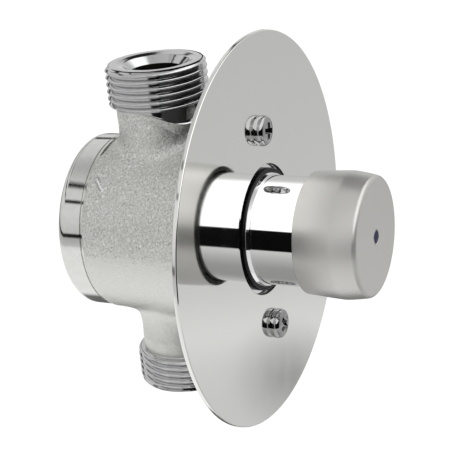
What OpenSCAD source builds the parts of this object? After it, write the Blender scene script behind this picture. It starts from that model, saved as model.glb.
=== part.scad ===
// Push-operated self-closing tap for concealed fitting.
// Millimetres, +Z up. The origin is on the button's axis at the finished wall surface.
// +Y runs into the wall, so the button comes forward along -Y and is pressed along +Y.

/* [Body] */
// Outer radius of the turned band at the back of the body
body_rear_r = 23.2; // [21.5:0.1:26]
// Step up from the turned band to the rough casting
casting_step = 0.3; // [0.2:0.1:1.5]
// Growth in radius of the casting from the band to its front, the draft of the mould
casting_draft = 1.2; // [0:0.1:3]
// Distance from the wall surface to the back of the body
body_depth = 48.6; // [47:0.1:54]
// Length of the turned band at the back
band_len = 6.6; // [3:0.1:8]
// Round on the back edge of the band
rear_round = 2.2; // [0.5:0.1:2.6]
// Thickness of the back wall
rear_wall = 4.2; // [3.5:0.1:5]
// Radius of the front neck that the sleeve screws into
neck_r = 18.5; // [18:0.1:20]
// Length of the front neck between the drum and the sleeve's flange
neck_len = 7.2; // [6.5:0.1:8]
// Radius of the main bore, front and back
chamber_r = 13.2; // [13.2:0.1:14]
// Distance from the wall surface to the front of the web that holds the seat
web_y = 23; // [22.9:0.1:23.5]
// Thickness of the web
web_t = 4; // [3.5:0.1:4.5]

/* [Ports] */
// Distance from the wall surface to the axis of both ports
port_y = 26.3; // [26:0.1:27]
// Distance from the button's axis to the end face of each port
port_end = 44.4; // [42:0.2:50]
// Major radius of the G 3/4 thread
thread_r = 13.22; // [12.9:0.02:13.4]
// Length of the outlet thread, at the top
outlet_thread_len = 11; // [9:0.5:13]
// Length of the inlet thread, at the bottom
inlet_thread_len = 10; // [9:0.5:13]
// Chamfer at both ends of each thread
thread_chamfer = 0.7; // [0.4:0.1:1.2]
// Radius of the neck between the drum and each thread
port_neck_r = 11.4; // [11:0.1:12.4]
// Extra radius of each neck where it leaves the drum
port_flare = 2; // [1:0.1:3]
// Radius of the bore down each port
port_bore_r = 6.8; // [6.6:0.1:7.6]
// Radius of the coned seat at its mouth
port_cone_r = 8.7; // [8:0.1:9.6]
// Distance from the port's end face to the foot of the coned seat
port_cone_h = 2.3; // [1.6:0.1:4]
// Radius of the shallow chamfer between the coned seat and the end face
port_rim_r = 10.3; // [9.8:0.1:11.4]
// Depth of that chamfer
port_rim_h = 0.4; // [0.2:0.1:0.8]
// Distance from the button's axis to the floor of each port bore
port_floor = 17.5; // [16.5:0.1:18.5]
// Radius of the passage from each port into the main bore
passage_r = 4; // [3:0.1:4.2]

/* [Wall plate] */
// Outer radius of the wall plate
plate_r = 51.3; // [40:0.1:70]
// Thickness of the wall plate
plate_t = 1.2; // [0.8:0.1:2]
// Rounding of the plate's front edge
plate_edge = 0.5; // [0.2:0.05:0.7]
// Distance from the button's axis to each plate screw
screw_z = 26.6; // [26:0.1:30]
// Radius of the plate screws' shanks
screw_r = 2; // [1.5:0.1:2.5]
// Radius of the pan heads
screw_head_r = 4; // [3.5:0.1:5]
// Height of the pan heads
screw_head_h = 2.7; // [2:0.1:3.2]
// Length of the shanks below the head
screw_len = 13; // [10:0.5:15]
// Radius of the lugs that the plate screws go into
lug_r = 5; // [4.5:0.1:6]
// Distance from the wall surface to the lugs, so that the plate lies on the wall alone
lug_y = 3; // [2.5:0.1:4]

/* [Sleeve] */
// Outer radius of the chromed sleeve
sleeve_r = 14.2; // [13.8:0.1:15]
// Bore of the sleeve, in which the piston slides
sleeve_bore_r = 11; // [10.8:0.1:11.2]
// Distance that the sleeve stands out from the wall surface
sleeve_out = 22.2; // [22:0.1:22.4]
// Radius of the sleeve's flange, seen through the plate's hole
flange_r = 17.2; // [16.8:0.1:18]
// Thickness of the flange
flange_t = 3; // [2.5:0.1:3.2]
// Thickness of the fibre washer under the flange
washer_t = 0.8; // [0.5:0.1:1]
// Length of the screwed shank below the flange
shank_len = 11; // [10:0.1:11.5]
// Extra radius of the collar at the sleeve's root
collar_extra = 0.8; // [0.6:0.05:0.9]
// Length of the cone in front of the collar
collar_cone = 1; // [0.6:0.1:1.4]
// Height of the step between that cone and the sleeve
collar_step = 0.4; // [0.2:0.05:0.5]
// Outer radius of the black ring in the plate's hole
ring_r = 16; // [15.6:0.1:16.6]
// Distance that the black ring stands out from the wall surface
ring_out = 1.8; // [1.5:0.1:3]
// Rounding of the black ring's outer front edge
ring_round = 0.4; // [0.2:0.1:0.6]

/* [Button] */
// Radius of the button at its open rear edge
button_rear_r = 15.75; // [15.6:0.05:17]
// Radius of the button at its widest
button_mid_r = 16.35; // [16:0.05:18]
// Radius of the button at its front
button_front_r = 15.6; // [15.4:0.05:16]
// Distance of the button's rear edge from the wall surface, at rest
button_rear = 14.5; // [13:0.1:16]
// Distance of the button's widest part from the wall surface, at rest
button_mid = 24.5; // [20:0.1:26]
// Distance of the button's front face from the wall surface, at rest
button_face = 31; // [30.9:0.1:34]
// Rounding of the front edge
button_round = 1.3; // [0.5:0.1:2]
// Thickness of the button's front wall
button_wall = 2.5; // [1.5:0.1:2.5]
// Travel of the button
stroke = 6; // [4:0.1:6]
// Radius of the coloured dot
dot_r = 1.8; // [1:0.05:3]
// Depth of the dot's recess
dot_depth = 0.8; // [0.4:0.1:1.2]

/* [Valve] */
// Radius of the stem
stem_r = 3; // [2.8:0.1:3.2]
// Radius of the stem's thin end, behind the seat
stem_end_r = 2.5; // [2:0.1:2.6]
// Radius of the piston
piston_r = 10.6; // [10.4:0.1:10.7]
// Length of the piston
piston_len = 5; // [4:0.1:5.5]
// Radius of the bore through the seat
seat_bore_r = 6; // [5:0.1:6.4]
// Radius of the seat's barrel in the web
seat_barrel_r = 8.9; // [8.6:0.05:9.2]
// Radius of the seat's front flange
seat_flange_r = 11.5; // [10.8:0.1:12.4]
// Height of the lip that the valve washer closes on
seat_lip = 1; // [0.6:0.1:1.5]
// Radius of the rubber valve washer
valve_washer_r = 8.2; // [7.8:0.1:8.5]
// Thickness of the valve washer
valve_washer_t = 2.5; // [2:0.1:3]
// Thickness of the brass holder behind the washer
holder_t = 2; // [1.5:0.1:2.5]
// Width across the flats of the stem nut
nut_af = 8; // [7:0.1:10]
// Height of the stem nut
nut_h = 3.2; // [2.5:0.1:3.5]

/* [Spring] */
// Length of the spring when the button is out
spring_len = 13.2; // [13:0.1:13.8]
// Radius of the spring wire
wire_r = 0.6; // [0.5:0.05:0.6]
// Mean radius of the coils
coil_r = 7.5; // [6:0.1:8.5]
// Number of coils
coils = 4.5; // [3:0.5:4.5]

/* [Filter] */
// Outer radius of the strainer's basket
strainer_r = 5.7; // [5:0.1:6.2]
// Wall of the basket
strainer_wall = 0.6; // [0.4:0.1:1]
// Length of the basket below its flange
strainer_len = 18; // [12:0.5:19]
// Number of slot pairs round the basket
strainer_slots = 6; // [3:1:8]
// Thickness of the flow disc in the outlet
flow_disc_t = 4; // [3:0.1:5]
// Radius of the flow disc's holes
flow_hole_r = 1.2; // [0.8:0.1:1.5]

/* [Clearances] */
// Between a fixed piece and the hole that it is screwed or pushed into
fit_gap = 0.1; // [0.05:0.05:0.15]
// Between the stem and its guides
stem_gap = 0.1; // [0.05:0.01:0.12]
// Between the button and the sleeve
button_gap = 0.3; // [0.2:0.05:0.4]
// Between the plate's hole and the flange seen through it
plate_gap = 0.4; // [0.2:0.1:0.8]
// Between the piston seal and the sleeve's bore
seal_gap = 0.15; // [0.1:0.01:0.2]
// Between faces that stop short of each other at the end of the travel
end_gap = 0.5; // [0.3:0.1:0.5]

/* [Hidden] */
$fn = 96;

CAST = [0.70, 0.70, 0.68];
CHROME = [0.86, 0.87, 0.88];
SATIN = [0.76, 0.75, 0.74];
BRASS = [0.80, 0.66, 0.36];
RUBBER = [0.05, 0.05, 0.05];
FIBRE = [0.55, 0.22, 0.16];
ACETAL = [0.90, 0.90, 0.86];
STEEL = [0.66, 0.67, 0.68];
BLUE = [0.05, 0.07, 0.30];

// The sleeve's flange lies just behind the plate, with its washer and the body behind it
neck_y = flange_t + washer_t;
drum_y = neck_y + neck_len;
band_y = body_depth - band_len;
casting_rear_r = body_rear_r + casting_step;
casting_front_r = casting_rear_r + casting_draft;
casting_front_round = 2;
web_back = web_y + web_t;
chamber_back = body_depth - rear_wall;

// Passages leave the port bores on either side of the web
outlet_passage_y = web_y - passage_r - 0.2;
inlet_passage_y = web_back + passage_r + 2.7;
passage_overlap = 1;

// Sleeve, cap and bush
shank_r = chamber_r - fit_gap;
shank_end = flange_t + shank_len;
collar_r = sleeve_r + collar_extra;
sleeve_edge = 0.5;
cap_len = 3;
cap_flange_t = 1.2;
cap_flange_r = shank_r - 0.5;
cap_y = shank_end - cap_len;
stem_hole_r = stem_r + stem_gap;
o_ring_wire_r = 0.75;
o_ring_y = cap_y + cap_len / 2;
o_ring_mid_r = stem_hole_r + o_ring_wire_r + 0.05;
o_ring_groove = 2 * o_ring_wire_r + 0.3;
bleed_r = 0.6;
bleed_at = 7;

// Button and its hub; the hub enters the sleeve's bore when the button is pressed
button_cavity_r = sleeve_r + button_gap;
button_floor = button_face - button_wall;
hub_r = sleeve_bore_r - 0.6;
hub_plate_t = 2;
hub_boss_r = 2 * stem_r;
hub_len = 4.2;
hub_end = button_floor - hub_len;
stem_front = button_floor - 0.7;
bush_front = hub_end - stroke - end_gap;
bush_len = 5;

// Piston, clip, seal and spring
spring_back = cap_y;
spring_front = spring_back - spring_len;
piston_front = spring_front - piston_len;
clip_t = 0.8;
clip_r = 1.5 * stem_r;
clip_groove_r = stem_r - 0.6;
seal_in_r = piston_r - 1.6;
seal_w = 2;
seal_y = piston_front + 1.5;
seal_lip = 0.5;
spring_end_gap = 0.1;
coil_sides = 6;
rings_per_coil = 8;
spring_run = spring_back - spring_front - 2 * wire_r - 2 * spring_end_gap;
coil_pitch = spring_run / coils;

// Seat and valve: the washer's front face lies on the seat's lip at rest
gasket_t = 0.8;
seat_flange_t = 1.4;
seat_flange_front = web_y - gasket_t - seat_flange_t;
seat_face = web_back + seat_lip;
seat_lip_r = seat_bore_r + 1.2;
valve_washer_back = seat_face + valve_washer_t;
holder_back = valve_washer_back + holder_t;
holder_r = seat_barrel_r - 0.1;
nut_back = holder_back + nut_h;
stem_back = nut_back + 0.9;
stem_shoulder = seat_face;

// Strainer and flow disc
strainer_flange_t = 1.5;
strainer_top_t = 0.8;
slot_w = 1.6;
strainer_set_back = 2.5;
strainer_z = -port_end + port_cone_h + strainer_set_back;
insert_r = port_bore_r - fit_gap;

// Points of an arc about c from angle a0 to a1
function arc(c, r, a0, a1, n = 6) =
    [for (i = [0:n]) let (a = a0 + (a1 - a0) * i / n) [c[0] + r * cos(a), c[1] + r * sin(a)]];

// Outline of the button's side from its widest part to one end: steps from k0 to k1 of 8
function button_side(r, y, k0, k1) = [
    for (k = [k0:sign(k1 - k0):k1])
        [button_mid_r + (r - button_mid_r) * pow(k / 8, 2), -button_mid + (y + button_mid) * k / 8]
];

// Points along the wire's centre line, and the least gap between those half a coil or more apart
coil_path = [
    for (i = [0:ceil(coils * rings_per_coil)])
        let (a = 360 * i / rings_per_coil)
        [coil_r * cos(a), coil_pitch * i / rings_per_coil, coil_r * sin(a)]
];
coil_gap = min([
    for (i = [0:len(coil_path) - 1], j = [i + rings_per_coil / 2:len(coil_path) - 1])
        norm(coil_path[i] - coil_path[j])
]) - 2 * wire_r;
echo(least_coil_gap = coil_gap);

// A solid of revolution about the Y axis: each point is [radius, distance into the wall]
module turned(points) {
    rotate([-90, 0, 0]) rotate_extrude() polygon(points);
}

// A plain cylinder along Y from y0 to y1
module rod_y(r, y0, y1) {
    translate([0, y0, 0]) rotate([-90, 0, 0]) cylinder(r = r, h = y1 - y0);
}

// A flat ring along Y
module ring_y(r_out, r_in, y0, y1) {
    difference() {
        rod_y(r_out, y0, y1);
        rod_y(r_in, y0 - 1, y1 + 1);
    }
}

// One port's outside, pointing up from the drum: flared root, neck and threaded end
module port_outside(thread_len) {
    thread_z = port_end - thread_len;
    flare_z = casting_rear_r + port_flare;
    flare_r = port_neck_r + port_flare;
    root_z = sqrt(casting_rear_r * casting_rear_r - flare_r * flare_r);
    translate([0, port_y, 0]) rotate_extrude() polygon(concat(
        [[0, root_z - 1], [flare_r, root_z - 1]],
        [for (t = [1:-0.125:0]) [port_neck_r + port_flare * t * t, flare_z + (root_z - flare_z) * t]],
        [
            [port_neck_r, thread_z],
            [thread_r - thread_chamfer, thread_z],
            [thread_r, thread_z + thread_chamfer],
            [thread_r, port_end - thread_chamfer],
            [thread_r - thread_chamfer, port_end],
            [0, port_end]
        ]
    ));
}

// One port's bore with its coned seat, pointing up
module port_bore() {
    translate([0, port_y, 0]) rotate_extrude() polygon([
        [0, port_floor],
        [port_bore_r, port_floor],
        [port_bore_r, port_end - port_cone_h],
        [port_cone_r, port_end - port_rim_h],
        [port_rim_r, port_end],
        [port_rim_r, port_end + 1],
        [0, port_end + 1]
    ]);
}

// A passage from a port's floor into the main bore, pointing up
module passage(y) {
    translate([0, y, chamber_r - 3]) cylinder(r = passage_r, h = port_floor + passage_overlap - chamber_r + 3);
}

module body() {
    color(CAST) difference() {
        union() {
            turned(concat(
                [
                    [0, neck_y],
                    [neck_r, neck_y],
                    [neck_r, drum_y]
                ],
                arc([casting_front_r - casting_front_round, drum_y + casting_front_round],
                    casting_front_round, -90, 0),
                [
                    [casting_rear_r, band_y],
                    [body_rear_r, band_y]
                ],
                arc([body_rear_r - rear_round, body_depth - rear_round], rear_round, 0, 90),
                [[0, body_depth]]
            ));
            port_outside(outlet_thread_len);
            mirror([0, 0, 1]) port_outside(inlet_thread_len);
            for (side = [-1, 1]) lug(side);
        }
        rod_y(chamber_r, neck_y - 1, web_y);
        rod_y(seat_barrel_r + fit_gap, web_y - 1, web_back + 1);
        rod_y(chamber_r, web_back, chamber_back);
        port_bore();
        mirror([0, 0, 1]) port_bore();
        passage(outlet_passage_y);
        mirror([0, 0, 1]) passage(inlet_passage_y);
        for (side = [-1, 1]) translate([0, 0, side * screw_z]) rod_y(screw_r + fit_gap, -1, screw_len + 1);
    }
}

// A lug for a plate screw, with a rib down to the front of the drum
module lug(side) {
    lug_back = drum_y + casting_front_round + 6;
    translate([0, 0, side * screw_z]) rod_y(lug_r, lug_y, lug_back);
    rib_w = 1.2 * lug_r;
    translate([-rib_w / 2, neck_y + 1.2, side > 0 ? neck_r - 3 : -screw_z])
        cube([rib_w, lug_back - neck_y - 1.2, screw_z - neck_r + 3]);
}

module wall_plate() {
    color(CHROME) difference() {
        turned(concat(
            [[0, 0], [0, -plate_t]],
            arc([plate_r - plate_edge, -plate_t + plate_edge], plate_edge, -90, 0, 4),
            [[plate_r, 0]]
        ));
        rod_y(flange_r + plate_gap, -plate_t - 1, 1);
        for (side = [-1, 1]) translate([0, 0, side * screw_z]) rod_y(screw_r + 2 * fit_gap, -plate_t - 1, 1);
    }
}

// A pan-head screw along Y with a cross recess in its head
module pan_screw() {
    head_round = 0.45 * screw_head_h;
    recess_w = 0.3 * screw_head_r;
    recess_l = 1.1 * screw_head_r;
    recess_d = 0.55 * screw_head_h;
    difference() {
        turned(concat(
            [[0, -plate_t - screw_head_h]],
            arc([screw_head_r - head_round, -plate_t - screw_head_h + head_round], head_round, -90, 0),
            [
                [screw_head_r, -plate_t],
                [screw_r, -plate_t],
                [screw_r, screw_len - plate_t - screw_r / 2],
                [screw_r / 2, screw_len - plate_t],
                [0, screw_len - plate_t]
            ]
        ));
        for (turn = [0, 90]) rotate([0, turn, 0])
            translate([-recess_l / 2, -plate_t - screw_head_h - 1, -recess_w / 2])
                cube([recess_l, recess_d + 1, recess_w]);
    }
}

module plate_screws() {
    color(STEEL) for (side = [-1, 1]) translate([0, 0, side * screw_z]) pan_screw();
}

module bonnet_sleeve() {
    color(CHROME) difference() {
        turned([
            [0, -sleeve_out],
            [sleeve_r - sleeve_edge, -sleeve_out],
            [sleeve_r, -sleeve_out + sleeve_edge],
            [sleeve_r, -ring_out - collar_cone],
            [sleeve_r + collar_step, -ring_out - collar_cone],
            [collar_r, -ring_out],
            [collar_r, 0],
            [flange_r, 0],
            [flange_r, flange_t],
            [shank_r, flange_t],
            [shank_r, shank_end],
            [0, shank_end]
        ]);
        rod_y(sleeve_bore_r, -sleeve_out - 1, shank_end + 1);
    }
}

module flange_washer() {
    color(FIBRE) ring_y(flange_r - 0.2, chamber_r + fit_gap, flange_t, neck_y);
}

module sleeve_ring() {
    inner_r = collar_r + fit_gap;
    color(RUBBER) turned(concat(
        [[inner_r, 0], [inner_r, -ring_out]],
        arc([ring_r - ring_round, -ring_out + ring_round], ring_round, -90, 0),
        [[ring_r, 0]]
    ));
}

module guide_bush() {
    color(ACETAL) ring_y(sleeve_bore_r - fit_gap, stem_hole_r, -bush_front, -bush_front + bush_len);
}

module chamber_cap() {
    color(BRASS) difference() {
        union() {
            rod_y(sleeve_bore_r - fit_gap, cap_y, shank_end);
            rod_y(cap_flange_r, shank_end, shank_end + cap_flange_t);
        }
        rod_y(stem_hole_r, cap_y - 1, shank_end + cap_flange_t + 1);
        rod_y(o_ring_mid_r + o_ring_wire_r + 0.1, o_ring_y - o_ring_groove / 2, o_ring_y + o_ring_groove / 2);
        translate([0, 0, bleed_at]) rod_y(bleed_r, cap_y - 1, shank_end + cap_flange_t + 1);
    }
}

module cap_o_ring() {
    color(RUBBER) translate([0, o_ring_y, 0]) rotate([-90, 0, 0]) rotate_extrude()
        translate([o_ring_mid_r, 0]) circle(r = o_ring_wire_r, $fn = 32);
}

// The spring is one unbroken tube swept along a helix about Y
module return_spring() {
    rings = len(coil_path) - 1;
    start = [0, spring_front + wire_r + spring_end_gap, 0];
    lean = atan(coil_pitch / (2 * PI * coil_r));
    points = [
        for (i = [0:rings], k = [0:coil_sides - 1])
            let (
                a = 360 * i / rings_per_coil,
                b = 360 * k / coil_sides,
                out = [cos(a), 0, sin(a)],
                along = [-sin(a) * cos(lean), sin(lean), cos(a) * cos(lean)],
                side = cross(out, along)
            )
            start + coil_path[i] + wire_r * (cos(b) * out + sin(b) * side)
    ];
    walls = [
        for (i = [0:rings - 1], k = [0:coil_sides - 1])
            let (
                a = i * coil_sides + k,
                b = i * coil_sides + (k + 1) % coil_sides
            )
            each [[a, b, b + coil_sides], [a, b + coil_sides, a + coil_sides]]
    ];
    last = rings * coil_sides;
    ends = [
        for (k = [1:coil_sides - 2])
            each [[0, k + 1, k], [last, last + k, last + k + 1]]
    ];
    color(STEEL) polyhedron(points, concat(walls, ends));
}

module valve_seat() {
    color(BRASS) difference() {
        turned([
            [0, seat_flange_front],
            [seat_flange_r, seat_flange_front],
            [seat_flange_r, web_y - gasket_t],
            [seat_barrel_r, web_y - gasket_t],
            [seat_barrel_r, web_back],
            [seat_lip_r, seat_face],
            [0, seat_face]
        ]);
        rod_y(seat_bore_r, seat_flange_front - 1, seat_face + 1);
    }
}

module seat_gasket() {
    color(RUBBER) ring_y(seat_flange_r, seat_barrel_r + fit_gap, web_y - gasket_t, web_y);
}

module inlet_strainer() {
    basket_top = strainer_z + strainer_flange_t + strainer_len;
    color(ACETAL) translate([0, port_y, 0]) difference() {
        rotate_extrude() polygon([
            [strainer_r - strainer_wall, strainer_z],
            [insert_r, strainer_z],
            [insert_r, strainer_z + strainer_flange_t],
            [strainer_r, strainer_z + strainer_flange_t],
            [strainer_r, basket_top],
            [0, basket_top],
            [0, basket_top - strainer_top_t],
            [strainer_r - strainer_wall, basket_top - strainer_top_t]
        ]);
        for (i = [0:strainer_slots - 1]) rotate([0, 0, 180 * i / strainer_slots])
            translate([-port_bore_r, -slot_w / 2, strainer_z + strainer_flange_t + 2])
                cube([2 * port_bore_r, slot_w, strainer_len - strainer_top_t - 4]);
    }
}

module flow_disc() {
    color(ACETAL) translate([0, port_y, port_floor]) difference() {
        cylinder(r = insert_r, h = flow_disc_t);
        translate([0, 0, -1]) cylinder(r = flow_hole_r, h = flow_disc_t + 2);
        for (i = [0:7]) rotate([0, 0, 45 * i]) translate([port_bore_r * 0.6, 0, -1])
            cylinder(r = flow_hole_r, h = flow_disc_t + 2);
    }
}

module push_button() {
    front_edge_r = button_front_r - button_round;
    front_edge_y = -button_face + button_round;
    front_tilt = 15;
    color(SATIN) difference() {
        turned(concat(
            [[0, -button_face]],
            arc([front_edge_r, front_edge_y], button_round, -90, -front_tilt),
            button_side(
                front_edge_r + button_round * cos(front_tilt), front_edge_y - button_round * sin(front_tilt), 7, 0
            ),
            button_side(button_rear_r, -button_rear, 1, 8),
            [[0, -button_rear]]
        ));
        rod_y(button_cavity_r, -button_floor, -button_rear + 1);
        rod_y(dot_r + 0.05, -button_face - 1, -button_face + dot_depth);
    }
}

module index_dot() {
    color(BLUE) turned([
        [0, -button_face + dot_depth],
        [0, -button_face - 0.15],
        [dot_r - 0.35, -button_face - 0.1],
        [dot_r, -button_face + 0.1],
        [dot_r, -button_face + dot_depth]
    ]);
}

module button_hub() {
    color(BRASS) difference() {
        union() {
            rod_y(hub_r, -button_floor, -button_floor + hub_plate_t);
            rod_y(hub_boss_r, -button_floor, -hub_end);
        }
        rod_y(stem_r + 0.05, -stem_front, -hub_end + 1);
    }
}

module stem() {
    color(STEEL) turned([
        [0, -stem_front],
        [stem_r, -stem_front],
        [stem_r, piston_front - clip_t],
        [clip_groove_r, piston_front - clip_t],
        [clip_groove_r, piston_front],
        [stem_r, piston_front],
        [stem_r, stem_shoulder],
        [stem_end_r, stem_shoulder],
        [stem_end_r, stem_back - 0.4],
        [stem_end_r - 0.4, stem_back],
        [0, stem_back]
    ]);
}

// A retaining clip with its mouth open downwards
module piston_clip() {
    color(STEEL) difference() {
        ring_y(clip_r, clip_groove_r + 0.02, piston_front - clip_t, piston_front);
        translate([-clip_groove_r * 0.8, piston_front - clip_t - 1, -clip_r - 1])
            cube([clip_groove_r * 1.6, clip_t + 2, clip_r + 1]);
    }
}

module piston() {
    color(BRASS) difference() {
        rod_y(piston_r, piston_front, spring_front);
        ring_y(piston_r + 1, seal_in_r, seal_y, seal_y + seal_w);
        rod_y(stem_r + 0.02, piston_front - 1, spring_front + 1);
    }
}

module piston_seal() {
    outer_r = sleeve_bore_r - seal_gap;
    color(RUBBER) turned([
        [seal_in_r + 0.05, seal_y + 0.05],
        [outer_r - 0.6, seal_y + 0.05],
        [outer_r, seal_y + seal_w - seal_lip],
        [outer_r, seal_y + seal_w - 0.05],
        [seal_in_r + 0.05, seal_y + seal_w - 0.05]
    ]);
}

module valve_washer() {
    color(RUBBER) ring_y(valve_washer_r, stem_end_r + 0.05, seat_face, valve_washer_back);
}

module washer_holder() {
    color(BRASS) ring_y(holder_r, stem_end_r + 0.05, valve_washer_back, holder_back);
}

module stem_nut() {
    nut_r = nut_af / 2 / cos(30);
    color(BRASS) difference() {
        intersection() {
            translate([0, holder_back, 0]) rotate([-90, 0, 0]) cylinder(r = nut_r, h = nut_h, $fn = 6);
            turned([
                [0, holder_back],
                [nut_r + 0.01, holder_back],
                [nut_r + 0.01, nut_back - 0.5],
                [nut_r - 0.6, nut_back],
                [0, nut_back]
            ]);
        }
        rod_y(stem_end_r + 0.02, holder_back - 1, nut_back + 1);
    }
}

body();
wall_plate();
plate_screws();
bonnet_sleeve();
flange_washer();
sleeve_ring();
guide_bush();
chamber_cap();
cap_o_ring();
return_spring();
valve_seat();
seat_gasket();
inlet_strainer();
flow_disc();
push_button();
index_dot();
button_hub();
stem();
piston_clip();
piston();
piston_seal();
valve_washer();
washer_holder();
stem_nut();
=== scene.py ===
import math

import bmesh
import bpy
from bpy.props import FloatProperty, FloatVectorProperty, IntProperty, PointerProperty
from mathutils import Matrix, Vector


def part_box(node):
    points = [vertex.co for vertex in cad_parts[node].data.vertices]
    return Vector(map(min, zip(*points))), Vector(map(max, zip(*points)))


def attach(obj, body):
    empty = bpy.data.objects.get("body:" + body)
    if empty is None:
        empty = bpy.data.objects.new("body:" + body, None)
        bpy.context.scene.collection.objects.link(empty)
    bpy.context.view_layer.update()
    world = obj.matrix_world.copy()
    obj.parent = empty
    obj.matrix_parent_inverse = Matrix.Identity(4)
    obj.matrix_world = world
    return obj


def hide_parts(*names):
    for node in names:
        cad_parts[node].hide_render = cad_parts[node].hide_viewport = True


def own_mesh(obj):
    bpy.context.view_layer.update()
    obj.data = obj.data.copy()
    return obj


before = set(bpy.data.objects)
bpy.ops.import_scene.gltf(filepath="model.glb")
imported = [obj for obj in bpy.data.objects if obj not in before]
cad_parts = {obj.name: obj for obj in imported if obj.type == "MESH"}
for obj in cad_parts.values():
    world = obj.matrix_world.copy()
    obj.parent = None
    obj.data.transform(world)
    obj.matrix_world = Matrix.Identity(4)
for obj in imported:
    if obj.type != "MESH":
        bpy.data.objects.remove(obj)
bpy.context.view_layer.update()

bl_info = {
    "name": "Concealed push tap",
    "version": (1, 0, 0),
    "blender": (4, 5, 0),
    "location": "3D View > Sidebar > Tap",
    "description": "Dresses the push tap's pieces and sets up its studio",
    "category": "Object",
}

MM = 0.001



# Places taken from the frame

def reach(node):
    """Radius, lowest y and highest y of a node that is round about the button's axis."""
    low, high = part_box(node)
    return high.x, low.y, high.y


BODY_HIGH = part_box("body")[1]
PLATE_R, PLATE_FRONT, PLATE_BACK = reach("wall_plate")
SLEEVE_FLANGE_R, SLEEVE_FRONT, SLEEVE_BACK = reach("bonnet_sleeve")
RING_R, RING_FRONT, RING_BACK = reach("sleeve_ring")
WASHER_FRONT = reach("flange_washer")[1]
BUTTON_R, BUTTON_FACE, BUTTON_REAR = reach("push_button")
DOT_R, _, DOT_BACK = reach("index_dot")
SPRING_R, SPRING_FRONT, SPRING_BACK = reach("return_spring")
SCREW_LOW, SCREW_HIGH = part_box("plate_screws")
DISC_LOW, DISC_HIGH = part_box("flow_disc")
PORT_Y = (DISC_LOW.y + DISC_HIGH.y) / 2
PORT_FLOOR = DISC_LOW.z
PORT_END = BODY_HIGH.z
BODY_BACK = BODY_HIGH.y
SCREW_HEAD_R = SCREW_HIGH.x
SCREW_Z = SCREW_HIGH.z - SCREW_HEAD_R

# Distances in metres under which points are one point, or lie on one ring or one seam of the solids
SAME_POINT = 1e-7
SAME_RING = 2e-6


# What a user may change

def length(label, about, value):
    """A length in metres, given here in millimetres."""
    return FloatProperty(name=label, description=about, default=value * MM, unit="LENGTH", precision=5)


def count(label, about, value):
    """A whole number."""
    return IntProperty(name=label, description=about, default=value)


def paint(label, about, code):
    """A colour, given as an sRGB hex value."""
    return FloatVectorProperty(name=label, description=about, default=linear(code)[:3], subtype="COLOR", size=3)


def linear(code):
    """An sRGB hex value as linear red, green, blue and alpha."""
    parts = [int(code[i:i + 2], 16) / 255 for i in (1, 3, 5)]
    return tuple(p / 12.92 if p <= 0.04045 else ((p + 0.055) / 1.055) ** 2.4 for p in parts) + (1.0,)


class TapCasting(bpy.types.PropertyGroup):
    """Sizes of the cast body."""
    band_radius: length("Band radius", "Radius of the turned band at the back", 23.2)
    band_length: length("Band length", "Length of the turned band", 7.5)
    band_round: length("Band round", "Round on the band's back edge", 2.2)
    chamber_radius: length("Chamber radius", "Radius of the bore behind the seat", 13.2)
    back_wall: length("Back wall", "Thickness of the body's back wall", 4.2)
    grid: length("Casting grid", "Size of the grid on which the casting's surface is rebuilt", 0.62)
    neck_radius: length("Neck radius", "Radius of the cast necks below the threads", 11.4)
    neck_extension: length("Neck extension", "How far the cast necks run on inside the threads", 2)
    blend_passes: count("Blend passes", "Smoothing passes where the necks leave the drum", 45)
    skin_passes: count("Skin passes", "Smoothing passes over the whole casting", 7)


class TapPorts(bpy.types.PropertyGroup):
    """Sizes of the threaded ports."""
    major_radius: length("Major radius", "Radius over the thread's crests", 13.22)
    pitch: length("Pitch", "Distance from crest to crest, 14 to the inch", 25.4 / 14)
    depth: length("Thread depth", "Height of the thread's crests above its roots", 1.162)
    relief_radius: length("Relief radius", "Radius of the turned strip below the outlet thread", 11.75)
    relief_length: length("Relief length", "Length of that strip where it is longest", 3.6)
    relief_ledge: length("Relief ledge", "Width of the ledge at its foot", 1.3)
    outlet_length: length("Outlet thread", "Length of the outlet thread, at the top", 11)
    inlet_length: length("Inlet thread", "Length of the inlet thread, at the bottom", 10)
    bore_radius: length("Bore radius", "Radius of the bore down each port", 6.75)
    cone_radius: length("Cone radius", "Radius of the coned seat at its mouth", 8.7)
    cone_depth: length("Cone depth", "Distance from the end face to the foot of the coned seat", 2.3)
    rim_radius: length("Rim radius", "Radius of the shallow chamfer inside the end face", 10.3)
    rim_depth: length("Rim depth", "Depth of that chamfer", 0.4)
    steps: count("Steps", "Steps in one turn of the thread", 96)


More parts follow.
